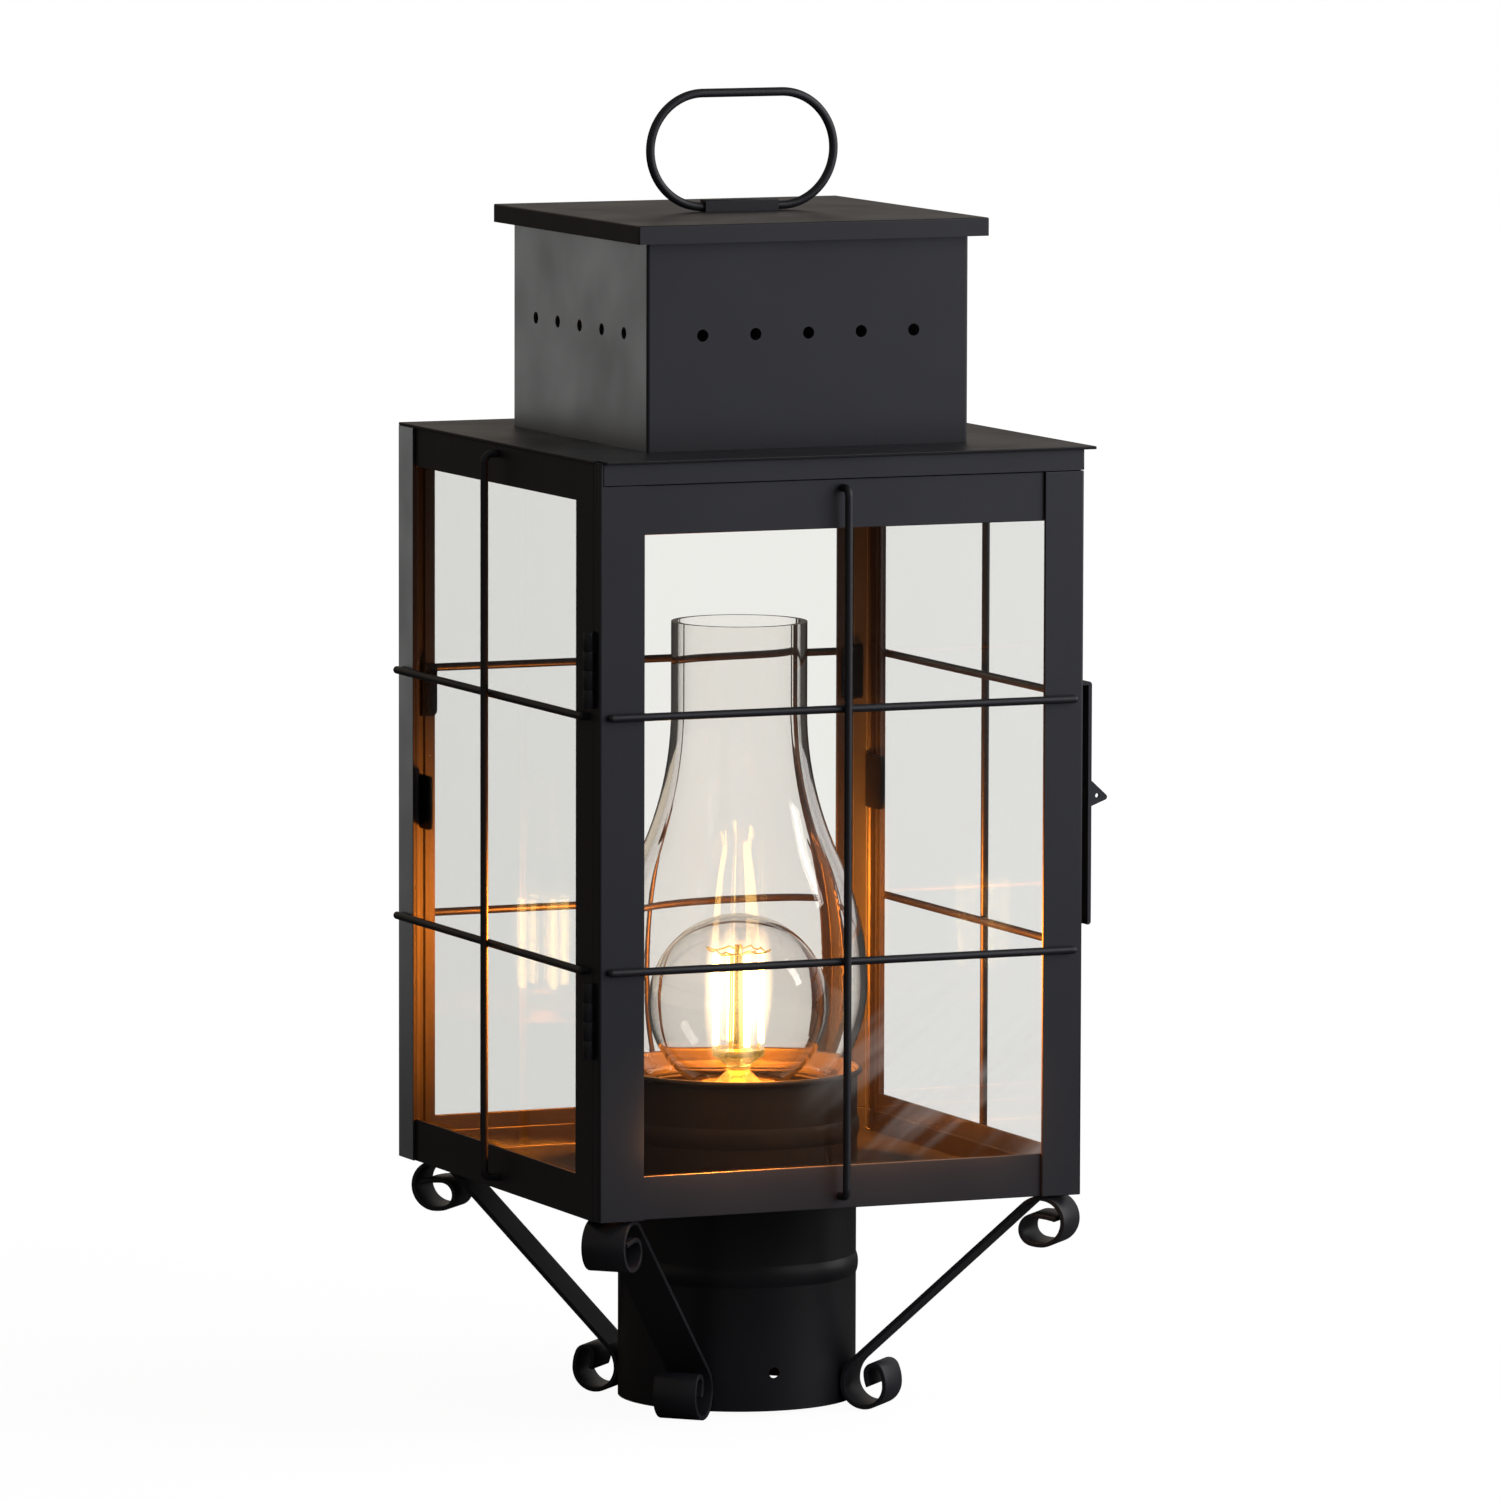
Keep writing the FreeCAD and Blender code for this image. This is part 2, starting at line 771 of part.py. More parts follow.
def bulb_filaments():
    r = filament_circle
    parts = []
    for i in range(filament_count):
        angle = math.radians(filament_angle + 360.0 * i / filament_count)
        at = V(r * math.cos(angle), r * math.sin(angle), 0)
        low = at + V(0, 0, filament_bottom)
        high = at + V(0, 0, filament_top)
        end = V(0, 0, filament_end)
        parts.append(rod(filament_radius, low + end, high - end))
        parts.append(rod(lead_radius, low - end, high))
        parts.append(rod(lead_radius, high, at * (hub_radius / r) + V(0, 0, filament_top)))
    hub = Part.makeTorus(hub_radius, lead_radius, V(0, 0, filament_top))
    return join(parts + [hub])


def chimney_seat():
    z = seat_z
    ring = Part.makeCylinder(fitter_bore, seat_sheet, V(0, 0, z))
    ring = ring.cut(Part.makeCylinder(seat_inner, seat_sheet, V(0, 0, z)))
    wall_in = chimney_base_r + seat_clearance
    wall = Part.makeCylinder(wall_in + seat_sheet, seat_wall, V(0, 0, z))
    wall = wall.cut(Part.makeCylinder(wall_in, seat_wall, V(0, 0, z)))
    return join([ring, wall])


def bow(start, end, wall):
    # Arc that leaves `start` upright and reaches `end`, moved inwards by `wall`.
    across = end.x - start.x
    radius = (end - start).Length ** 2 / (2 * abs(across))
    side = math.copysign(1, across)
    hub = start + V(side * radius, 0, 0)
    first = (start - hub).normalize()
    last = (end - hub).normalize()
    middle = (first + last).normalize()
    reach = radius + side * wall
    return arc_between(hub + first * reach, hub + middle * reach, hub + last * reach)


def chimney_side(wall):
    base = seat_z + seat_sheet
    neck = V(chimney_neck_r, 0, chimney_neck_z)
    belly = V(chimney_belly_r, 0, chimney_belly_z)
    turn = neck + (belly - neck) * chimney_turn_share
    foot = V(chimney_base_r, 0, base + chimney_collar)
    inwards = V(-wall, 0, 0)
    lower = bow(belly, foot, wall)
    ends = [vertex.Point for vertex in lower.Vertexes]
    collar_top = min(ends, key=lambda point: point.z)
    return [Part.makeLine(V(chimney_neck_r, 0, chimney_top) + inwards, neck + inwards),
            bow(neck, turn, wall),
            bow(belly, turn, wall),
            lower,
            Part.makeLine(collar_top, V(chimney_base_r, 0, base) + inwards)]


def glass_chimney():
    outer = chimney_side(0.0)
    inner = chimney_side(chimney_wall)
    base = seat_z + seat_sheet
    ends = [Part.makeLine(V(r - chimney_wall, 0, z), V(r, 0, z))
            for r, z in ((chimney_neck_r, chimney_top), (chimney_base_r, base))]
    return revolved(outer + inner + ends)


# Scroll brackets.

def towards(angle):
    return V(math.cos(math.radians(angle)), 0, math.sin(math.radians(angle)))


def curl_start(shares, angles, size, hub):
    # Radius and centre of the arc in which the strip runs into the curl.
    radius = shares[0] * size
    return radius, hub + towards(angles[0]) * (size - radius)


def curl(shares, angles, size, hub, start):
    # `hub` is the centre of the second arc; the first one begins at the angle `start`.
    radius, centre = curl_start(shares, angles, size, hub)
    edges = []
    for share, end in zip(shares, angles):
        centre = centre + towards(start) * (radius - share * size)
        radius = share * size
        for depth in (0.0, scroll_sheet):
            points = [centre + towards(angle) * (radius - depth)
                      for angle in (start, (start + end) / 2, end)]
            edges.append(arc_between(*points))
        start = end
    edges.append(Part.makeLine(points[2], points[2] + towards(end) * scroll_sheet))
    return edges


def scroll(corner_x, corner_y, inset):
    # Drawn in the plane y = 0 and turned to its corner of the body.
    reach = math.hypot(corner_x, corner_y) - inset
    high = V(reach, 0, floor_z - scroll_high_radius)
    low = V(fitter_radius + scroll_gap + scroll_low_radius, 0, scroll_low_radius - scroll_drop)
    at_high = (high_curl_share, high_curl_angle, scroll_high_radius, high)
    at_low = (low_curl_share, low_curl_angle, scroll_low_radius, low)
    high_radius, high_centre = curl_start(*at_high)
    low_radius, low_centre = curl_start(*at_low)
    way = high_centre - low_centre
    lean = math.atan2(way.z, way.x) - math.asin((low_radius - high_radius) / way.Length)
    face = math.degrees(lean) + 90.0
    edges = curl(*at_high, face) + curl(*at_low, face)
    for depth in (0.0, scroll_sheet):
        edges.append(Part.makeLine(high_centre + towards(face) * (high_radius - depth),
                                   low_centre + towards(face) * (low_radius - depth)))
    wire = Part.Wire(Part.__sortEdges__(edges))
    strip = Part.Face(wire).extrude(V(0, scroll_width, 0))
    strip.translate(V(0, -scroll_width / 2, 0))
    return turned(strip, math.degrees(math.atan2(corner_y, corner_x)))


def main_parts():
    door_left = stile_left(stile_width_left, True)
    panel = left_panel()
    angle = corner_angle()
    parts = {
        "roof_plate": roof_plate(),
        "vent_stack": vent_stack(),
        "stack_cap": stack_cap(),
        "ring_strap": ring_strap(),
        "carry_ring": carry_ring(),
        "header_strip": header_strip(),
        "left_panel": panel,
        "right_panel": mirrored(panel),
        "back_panel": back_panel(),
        "floor_pan": floor_pan(),
        "corner_angle_left": angle,
        "corner_angle_right": mirrored(angle),
        "pane_left": side_pane(),
        "pane_right": mirrored(side_pane()),
        "pane_back": back_pane(),
        "clip_left_rear": side_rear_clip(),
        "clip_left_front": side_front_clip(),
        "clip_right_rear": mirrored(side_rear_clip()),
        "clip_right_front": mirrored(side_front_clip()),
        "clip_back_left": back_clip(),
        "clip_back_right": mirrored(back_clip()),
        "door_stile_left": door_left,
        "door_stile_right": mirrored(stile_left(stile_width_right, False)),
        "door_rail_top": door_rail(door_top - door_rail_top, door_top),
        "door_rail_bottom": door_rail(door_bottom, door_bottom + door_rail_bottom),
        "door_pane": door_pane(),
        "door_clip_top": door_clip(True),
        "door_clip_bottom": door_clip(False),
        "guard_bar_door": door_bar(),
        "guard_bar_back": back_bar(),
        "guard_bar_left": side_bar(),
        "guard_bar_right": mirrored(side_bar()),
        "latch": latch(),
        "post_fitter": post_fitter(),
        "lamp_bracket": lamp_bracket(),
        "lampholder": lampholder(),
        "bulb_cap": bulb_cap(),
        "bulb_glass": bulb_glass(),
        "bulb_stem": bulb_stem(),
        "bulb_filaments": bulb_filaments(),
        "chimney_seat": chimney_seat(),
        "glass_chimney": glass_chimney(),
    }
    front = -(front_half + guard_radius)
    half = side_half - rod_end_inset - guard_radius
    left_front = -(panel_front - rod_end_inset - guard_radius)
    right_front = -(latch_front - latch_depth - latch_rod_gap - guard_radius)
    for level, z in (("upper", rod_upper_z), ("lower", rod_lower_z)):
        parts["guard_rod_door_" + level] = plain_rod(half, front, z)
        parts["guard_rod_back_" + level] = plain_rod(half, back_half + guard_radius, z)
        parts["guard_rod_left_" + level] = side_rod(z, left_front)
        parts["guard_rod_right_" + level] = mirrored(side_rod(z, right_front))
    for level, z in (("upper", hinge_upper_z), ("lower", hinge_lower_z)):
        parts["hinge_fixed_leaf_" + level] = fixed_leaf(z)
        parts["hinge_door_leaf_" + level] = door_leaf(z)
        parts["hinge_pin_" + level] = hinge_pin(z)
    for end, y, inset in (("front", -front_half, scroll_inset_front),
                          ("back", back_half, scroll_inset_back)):
        parts["scroll_" + end + "_left"] = scroll(-side_half, y, inset)
        parts["scroll_" + end + "_right"] = scroll(side_half, y, inset)
    return parts


for part_name, part_shape in main_parts().items():
    save(part_name, part_shape)
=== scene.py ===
import math
import bpy
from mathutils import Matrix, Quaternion, Vector


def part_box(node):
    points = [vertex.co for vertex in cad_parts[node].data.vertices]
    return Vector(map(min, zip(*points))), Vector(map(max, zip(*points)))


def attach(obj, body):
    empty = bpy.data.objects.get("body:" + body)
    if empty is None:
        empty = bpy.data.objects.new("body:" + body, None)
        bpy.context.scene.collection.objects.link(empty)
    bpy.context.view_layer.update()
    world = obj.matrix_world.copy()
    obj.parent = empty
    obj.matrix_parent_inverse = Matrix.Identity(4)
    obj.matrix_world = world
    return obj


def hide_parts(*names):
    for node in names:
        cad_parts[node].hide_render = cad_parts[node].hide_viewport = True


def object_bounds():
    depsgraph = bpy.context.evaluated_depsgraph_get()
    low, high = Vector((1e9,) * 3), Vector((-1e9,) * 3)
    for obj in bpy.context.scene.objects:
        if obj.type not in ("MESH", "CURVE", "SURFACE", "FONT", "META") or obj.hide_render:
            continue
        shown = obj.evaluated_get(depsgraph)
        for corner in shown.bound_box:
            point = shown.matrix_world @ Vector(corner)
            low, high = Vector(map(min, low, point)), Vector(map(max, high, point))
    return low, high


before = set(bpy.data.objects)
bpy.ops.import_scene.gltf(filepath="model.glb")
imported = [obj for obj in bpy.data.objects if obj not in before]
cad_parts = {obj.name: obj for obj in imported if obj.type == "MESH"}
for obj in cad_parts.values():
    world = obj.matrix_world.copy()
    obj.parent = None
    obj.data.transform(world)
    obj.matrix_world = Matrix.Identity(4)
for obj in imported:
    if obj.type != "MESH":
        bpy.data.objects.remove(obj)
cad_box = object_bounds()
bpy.ops.object.select_all(action="DESELECT")
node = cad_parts


# View. The lantern is seen from the left of its door, a little from above, through a
# long lens, so that upright edges stay upright. Its place comes from the edges of the
# body, the stack and the cap.
camera_place = Vector((-1.6044, -3.7157, 0.6502))     # metres, as all lengths are
camera_aim = Vector((0.00359, -0.00155, 0.21470))
camera_roll = math.radians(0.146)
sensor_width = 36.0        # millimetres, as the focal length is
focal_length = 295.9

scene = bpy.context.scene
scene.view_settings.view_transform = "Standard"
bpy.ops.object.camera_add(location=camera_place)
camera = bpy.context.object
camera.name = "camera"
camera.data.sensor_width = sensor_width
camera.data.lens = focal_length
camera.rotation_mode = "QUATERNION"
level_aim = (camera_aim - camera_place).to_track_quat("-Z", "Y")
camera.rotation_quaternion = level_aim @ Quaternion((0, 0, 1), camera_roll)
scene.camera = camera


# Room. A white sweep hangs behind the lantern, and the walls are darker and warmer on the
# left than on the right. The eye sees white all round, and metal and glass mirror the
# sweep only where it hangs.
def linear(text):
    """An sRGB hex colour as linear RGBA."""
    parts = [int(text[i:i + 2], 16) / 255 for i in (1, 3, 5)]
    return [c / 12.92 if c <= 0.04045 else ((c + 0.055) / 1.055) ** 2.4 for c in parts] + [1.0]


def add(tree, kind, links=(), **settings):
    """One node in a tree, its plain settings, and its inputs as values or other sockets."""
    made = tree.nodes.new(kind)
    for name, value in settings.items():
        setattr(made, name, value)
    for name, value in dict(links).items():
        if isinstance(value, bpy.types.NodeSocket):
            tree.links.new(value, made.inputs[name])
        else:
            made.inputs[name].default_value = value
    return made


def straight(tree):
    """1 where the eye looks, also through glass, and 0 once the ray has met metal or paper."""
    ray = add(tree, "ShaderNodeLightPath")
    bounces = add(tree, "ShaderNodeMath", {0: ray.outputs["Diffuse Depth"],
                                           1: ray.outputs["Glossy Depth"]})
    first = add(tree, "ShaderNodeMath", {0: bounces.outputs[0], 1: 0.5}, operation="LESS_THAN")
    seen = add(tree, "ShaderNodeMath", {0: ray.outputs["Is Camera Ray"],
                                        1: ray.outputs["Is Transmission Ray"]},
               operation="MAXIMUM")
    return add(tree, "ShaderNodeMath", {0: seen.outputs[0], 1: first.outputs[0]},
               operation="MULTIPLY").outputs[0]


sweep_way = (0.392, 0.920, 0.0)
right_way = (0.7, -0.7, 0.0)
wall_turn = 0.9
wall_left, wall_right = 0.10, 0.50
warm_left, cool_right = "#fff0dc", "#eef0ff"
sweep_edge, sweep_full = 0.70, 0.98
sweep_on_metal, sweep_in_glass = 0.35, 0.95
front_start, front_end = 0.1, 0.95
front_level, front_in_tube, front_on_right = 0.15, 0.70, 0.05
inside_level = 0.2
# Glass faces that a ray has passed when it reaches the walls: metal behind a pane gives
# four, and the chimney's and the bulb's own fringes five or more.
inside_from, inside_to = 2.5, 3.5
tube_from, tube_to = 4.5, 5.5

world = bpy.data.worlds.new("studio")
world.use_nodes = True
scene.world = world
sky = world.node_tree
sky.nodes.clear()
way = add(sky, "ShaderNodeTexCoord").outputs["Generated"]
to_sweep = add(sky, "ShaderNodeVectorMath", {0: way, 1: sweep_way}, operation="DOT_PRODUCT")
to_right = add(sky, "ShaderNodeVectorMath", {0: way, 1: right_way}, operation="DOT_PRODUCT")
side = add(sky, "ShaderNodeMapRange", {"Value": to_right.outputs["Value"],
                                       "From Min": -wall_turn, "From Max": wall_turn},
           interpolation_type="SMOOTHSTEP")
walls = add(sky, "ShaderNodeMapRange", {"Value": side.outputs["Result"],
                                        "To Min": wall_left, "To Max": wall_right})
tint = add(sky, "ShaderNodeMix", {"Factor": side.outputs["Result"],
                                  "A": linear(warm_left), "B": linear(cool_right)},
           data_type="RGBA")
sky_ray = add(sky, "ShaderNodeLightPath")
faces = sky_ray.outputs["Transmission Depth"]
glassy = add(sky, "ShaderNodeMapRange", {"Value": faces, "To Min": sweep_on_metal,
                                         "To Max": sweep_in_glass})
hung = add(sky, "ShaderNodeMapRange", {"Value": to_sweep.outputs["Value"],
                                       "From Min": sweep_edge, "From Max": sweep_full,
                                       "To Min": 0.0, "To Max": glassy.outputs["Result"]},
           interpolation_type="SMOOTHSTEP")
least = add(sky, "ShaderNodeMapRange", {"Value": faces, "From Min": tube_from,
                                        "From Max": tube_to, "To Min": front_level,
                                        "To Max": front_in_tube})
front = add(sky, "ShaderNodeMapRange", {"Value": to_right.outputs["Value"],
                                        "From Min": front_start, "From Max": front_end,
                                        "To Min": least.outputs["Result"],
                                        "To Max": front_on_right},
            interpolation_type="SMOOTHSTEP")
mirror = add(sky, "ShaderNodeMath", {0: hung.outputs["Result"], 1: front.outputs["Result"]},
             operation="MAXIMUM")
met = add(sky, "ShaderNodeMix", {"Factor": sky_ray.outputs["Glossy Depth"],
                                 "A": walls.outputs["Result"], "B": mirror.outputs[0]})
indoors = add(sky, "ShaderNodeMapRange", {"Value": faces, "From Min": inside_from,
                                          "From Max": inside_to, "To Min": 1.0,
                                          "To Max": inside_level})
deeper = add(sky, "ShaderNodeMapRange", {"Value": faces, "From Min": tube_from,
                                         "From Max": tube_to})
share = add(sky, "ShaderNodeMath", {0: indoors.outputs["Result"], 1: deeper.outputs["Result"]},
            operation="MAXIMUM")
level = add(sky, "ShaderNodeMath", {0: met.outputs["Result"], 1: share.outputs[0]},
            operation="MULTIPLY")
dim = add(sky, "ShaderNodeBackground", {"Color": tint.outputs[2], "Strength": level.outputs[0]})
white = add(sky, "ShaderNodeBackground", {"Color": linear("#ffffff"), "Strength": 1.0})
both = add(sky, "ShaderNodeMixShader", {0: straight(sky), 1: dim.outputs[0],
                                        2: white.outputs[0]})
add(sky, "ShaderNodeOutputWorld", {"Surface": both.outputs[0]})


# Floor. Matt white paper under the lantern, which keeps its shadow and runs out into the
# white of the sweep without an edge.
def new_material(name):
    """A material with an empty tree, and that tree."""
    made = bpy.data.materials.new(name)
    made.use_nodes = True
    made.node_tree.nodes.clear()
    return made, made.node_tree


floor_radius = 6.0
fade_start, fade_end = 0.4, 3.0
floor_near, floor_far = 0.95, 1.0

bpy.ops.mesh.primitive_circle_add(vertices=96, radius=floor_radius, fill_type="NGON",
                                  location=(0, 0, cad_box[0].z))
floor = bpy.context.object
floor.name = "floor"
bpy.ops.object.transform_apply()
paper, tree = new_material("matt_white_paper")
sheet = add(tree, "ShaderNodeBsdfDiffuse", {"Color": linear("#606060")})
where = add(tree, "ShaderNodeTexCoord").outputs["Object"]
away = add(tree, "ShaderNodeVectorMath", {0: where}, operation="LENGTH")
far = add(tree, "ShaderNodeMapRange", {"Value": away.outputs["Value"],
                                       "From Min": fade_start, "From Max": fade_end,
                                       "To Min": floor_near, "To Max": floor_far})
shine = add(tree, "ShaderNodeEmission", {"Color": linear("#ffffff"),
                                         "Strength": far.outputs["Result"]})
lit = add(tree, "ShaderNodeAddShader", {0: sheet.outputs[0], 1: shine.outputs[0]})
both = add(tree, "ShaderNodeMixShader", {0: straight(tree), 1: sheet.outputs[0],
                                         2: lit.outputs[0]})
add(tree, "ShaderNodeOutputMaterial", {"Surface": both.outputs[0]})
floor.data.materials.append(paper)


# Studio lamps. Two softboxes and a lit wall stand on the right. The window is seen only
# through the panes, as a small bright mirror image in the glass. A card in front and one
# behind light the outer metal alone, so that the panes don't mirror them.
def flat_lamp(name, place, towards, width, height, power, colour="#ffffff"):
    """A lamp with a flat rectangular face, which the eye doesn't see."""
    bpy.ops.object.light_add(type="AREA", location=place)
    lamp = bpy.context.object
    lamp.name = name
    lamp.data.shape = "RECTANGLE"
    lamp.data.size = width
    lamp.data.size_y = height
    lamp.data.energy = power
    lamp.data.color = linear(colour)[:3]
    lamp.rotation_mode = "QUATERNION"
    lamp.rotation_quaternion = towards.to_track_quat("-Z", "Y")
    lamp.visible_camera = False
    lamp.visible_transmission = False
    return lamp


def group(label, names):
    """A collection of CAD pieces that a lamp lights, or that shade its light."""
    made = bpy.data.collections.new(label)
    for name in names:
        made.objects.link(node[name])
    return made


lantern_middle = Vector((0, 0, 0.2))
for name, place, width, height, power in (("softbox_right", (1.5, -1.9, 1.5), 1.4, 1.4, 12.0),
                                          ("softbox_high", (1.7, -0.5, 1.5), 1.2, 1.2, 6.0),
                                          ("wall_right", (1.04, -0.36, 0.49), 1.30, 0.90, 4.0)):
    flat_lamp(name, place, lantern_middle - Vector(place), width, height, power)

window_place = Vector((0.87, -0.41, 0.70))
window = flat_lamp("window", window_place, lantern_middle - window_place, 0.30, 0.50, 3.0)
window.visible_transmission = True
window.visible_diffuse = False
window.visible_glossy = False
window.data.use_nodes = True
tree = window.data.node_tree
tree.nodes.clear()
window_ray = add(tree, "ShaderNodeLightPath")
sharp = add(tree, "ShaderNodeMath", {0: window_ray.outputs["Diffuse Depth"], 1: 0.5},
            operation="LESS_THAN")
shine = add(tree, "ShaderNodeEmission", {"Strength": sharp.outputs[0]})
add(tree, "ShaderNodeOutputLight", {"Surface": shine.outputs[0]})

shading = group("metal_that_shades_it", node)
card = flat_lamp("card_in_front", (0.62, -0.84, 0.10), Vector((-0.39, 0.92, 0.0)),
                 0.95, 0.95, 2.6, "#eceeff")
card.light_linking.receiver_collection = group("metal_lit_by_the_card", (
    "vent_stack", "stack_cap", "header_strip", "left_panel", "right_panel", "door_stile_left",
    "door_stile_right", "door_rail_top", "door_rail_bottom", "latch", "guard_bar_door",
    "guard_rod_door_upper", "guard_rod_door_lower", "scroll_front_left", "scroll_front_right",
    "carry_ring", "ring_strap"))
card.light_linking.blocker_collection = shading
card = flat_lamp("card_behind", (-0.45, 1.30, 0.25), Vector((0.33, -0.94, 0.0)), 1.4, 1.0, 4.5)
card.light_linking.receiver_collection = group("metal_lit_from_behind", (
    "vent_stack", "back_panel", "guard_bar_back", "guard_rod_back_upper",
    "guard_rod_back_lower"))
card.light_linking.blocker_collection = shading


# Case. Folded mild-steel sheet, welded, with a satin black polyester powder coat that was
# baked on. The coat rounds each cut edge a little, and leaves a fine, soft orange peel and
# faint clouds in the gloss.
def powder_coat(name, dark, pale, rough):
    """Baked paint or blacking: dull, slightly uneven in gloss, with a fine relief."""
    peel_size, cloud_size = 0.0014, 0.030
    relief_height = 0.00005
    gloss_swing = 0.05
    made, tree = new_material(name)
    where = add(tree, "ShaderNodeTexCoord").outputs["Object"]
    peel = add(tree, "ShaderNodeTexNoise", {"Vector": where, "Scale": 1 / peel_size,
                                            "Detail": 2.0})
    cloud = add(tree, "ShaderNodeTexNoise", {"Vector": where, "Scale": 1 / cloud_size,
                                             "Detail": 3.0})
    tone = add(tree, "ShaderNodeMix", {"Factor": cloud.outputs["Fac"], "A": linear(dark),
                                       "B": linear(pale)}, data_type="RGBA")
    gloss = add(tree, "ShaderNodeMapRange", {"Value": cloud.outputs["Fac"], "From Min": 0.3,
                                             "From Max": 0.7, "To Min": rough - gloss_swing,
                                             "To Max": rough + gloss_swing})
    relief = add(tree, "ShaderNodeBump", {"Height": peel.outputs["Fac"], "Strength": 0.06,
                                          "Distance": relief_height})
    coat = add(tree, "ShaderNodeBsdfPrincipled", {"Base Color": tone.outputs[2],
                                                  "Roughness": gloss.outputs["Result"],
                                                  "Normal": relief.outputs["Normal"]})
    add(tree, "ShaderNodeOutputMaterial", {"Surface": coat.outputs[0]})
    return made


def dress(names, material):
    """Gives CAD pieces their material."""
    for name in names:
        node[name].data.materials.clear()
        node[name].data.materials.append(material)


def join_triangles(name):
    """Joins the loose triangles of a CAD piece along their edges."""
    weld = node[name].modifiers.new("weld", "WELD")
    weld.merge_threshold = 0.00001


def soften(names):
    """Rounds the cut edges of sheet, as the coat does."""
    edge_round = 0.00022
    sharp_from = math.radians(40)
    for name in names:
        join_triangles(name)
        soft = node[name].modifiers.new("soft_edges", "BEVEL")
        soft.width = edge_round
        soft.segments = 2
        soft.limit_method = "ANGLE"
        soft.angle_limit = sharp_from


black = powder_coat("satin_black_powder_coat", "#1e1e22", "#232327", 0.42)
top = ["roof_plate", "stack_cap", "ring_strap"]
case = ["header_strip", "left_panel", "right_panel", "back_panel", "floor_pan",
        "corner_angle_left", "corner_angle_right"]
dress(top + ["vent_stack"] + case, black)
soften(top + case)


# Door. Two stiles and two rails of folded sheet, coated as the case is, on two butt hinges
# with their pins. A sprung strap, the latch, laps its free edge.
door = ["door_stile_left", "door_stile_right", "door_rail_top", "door_rail_bottom", "latch"]
body_leaves = ["hinge_fixed_leaf_upper", "hinge_fixed_leaf_lower"]
door_leaves = ["hinge_door_leaf_upper", "hinge_door_leaf_lower"]
pins = ["hinge_pin_upper", "hinge_pin_lower"]
dress(door + body_leaves + door_leaves + pins, black)
soften(door + body_leaves + door_leaves + pins)


# Guards and ring. Round mild-steel wire, bent at the ends and welded to the sheet, and the
# loose carry ring of the same wire, all coated with the case.
bars = ["guard_bar_left", "guard_bar_right", "guard_bar_back"]
rods = ["guard_rod_right_upper", "guard_rod_right_lower", "guard_rod_back_upper",
        "guard_rod_back_lower"]
left_rods = ["guard_rod_left_upper", "guard_rod_left_lower"]
door_guard = ["guard_bar_door", "guard_rod_door_upper", "guard_rod_door_lower"]
dress(["carry_ring"] + bars + rods + left_rods + door_guard, black)


# Fitter and brackets. A round collar of steel tube for the post, four scrolls of flat bar
# that carry the case on its diagonals, and the bracket and ring seat for the lamp inside.
# All have the same coat.
scrolls = ["scroll_front_left", "scroll_front_right", "scroll_back_left", "scroll_back_right"]
inner = ["chimney_seat", "lamp_bracket"]
dress(["post_fitter"] + scrolls + inner, black)
soften(scrolls + inner)


# Glass clips. Bent strips of spring steel, blackened in the bath and a little shinier
# than the coat, which press each pane against the sheet.
clips = ["clip_left_rear", "clip_left_front", "clip_right_rear", "clip_right_front",
         "clip_back_left", "clip_back_right", "door_clip_top", "door_clip_bottom"]
dress(clips, powder_coat("blackened_spring_steel", "#1a1817", "#242120", 0.34))


# Panes. Clear soda-lime window glass, cut to size, held behind the sheet by the clips. Its
# faint grey-green shows most where the eye looks through two panes.
def clear_glass(name, colour, ior, shade):
    """Smooth glass. The shade is what a pane takes from lamp light that goes through it."""
    made, tree = new_material(name)
    ray = add(tree, "ShaderNodeLightPath")
    body = add(tree, "ShaderNodeBsdfPrincipled", {"Base Color": linear(colour),
                                                  "Roughness": 0.0, "IOR": ior,
                                                  "Transmission Weight": 1.0})
    through = add(tree, "ShaderNodeBsdfTransparent", {"Color": linear(shade)})
    both = add(tree, "ShaderNodeMixShader", {0: ray.outputs["Is Shadow Ray"],
                                             1: body.outputs[0], 2: through.outputs[0]})
    add(tree, "ShaderNodeOutputMaterial", {"Surface": both.outputs[0]})
    return made


def lay_over(material, kind, below, links):
    """Leads a material's shader to its output by way of one more node, as input `below`."""
    tree = material.node_tree
    end = tree.nodes["Material Output"].inputs["Surface"]
    links[below] = end.links[0].from_socket
    tree.links.new(add(tree, kind, links).outputs[0], end)
    material.cycles.emission_sampling = "NONE"


pane_ior = 1.45     # soda-lime glass has 1.52; this was matched to the photograph
pane_colour, rear_colour = "#fffffd", "#fafaf7"
pane_shade = "#cfc8bc"
dress(["pane_left", "pane_right"],
      clear_glass("window_glass", pane_colour, pane_ior, pane_shade))
dress(["pane_back"], clear_glass("window_glass_rear", rear_colour, pane_ior, pane_shade))


# Door pane. The same glass, wiped with a damp cloth: thin streaks of dried film run up to the
# right in its lower half. They are drawn wider than real ones, so that they show. The film is
# drawn as a faint glow of its own: painted light for the lamp light it scatters.
streak_length, streak_width = 0.110, 0.011
streak_slope = math.radians(-36)
film_place = (0.044, -0.083, 0.105)
film_inner, film_outer = 0.020, 0.062
film_most = 0.16

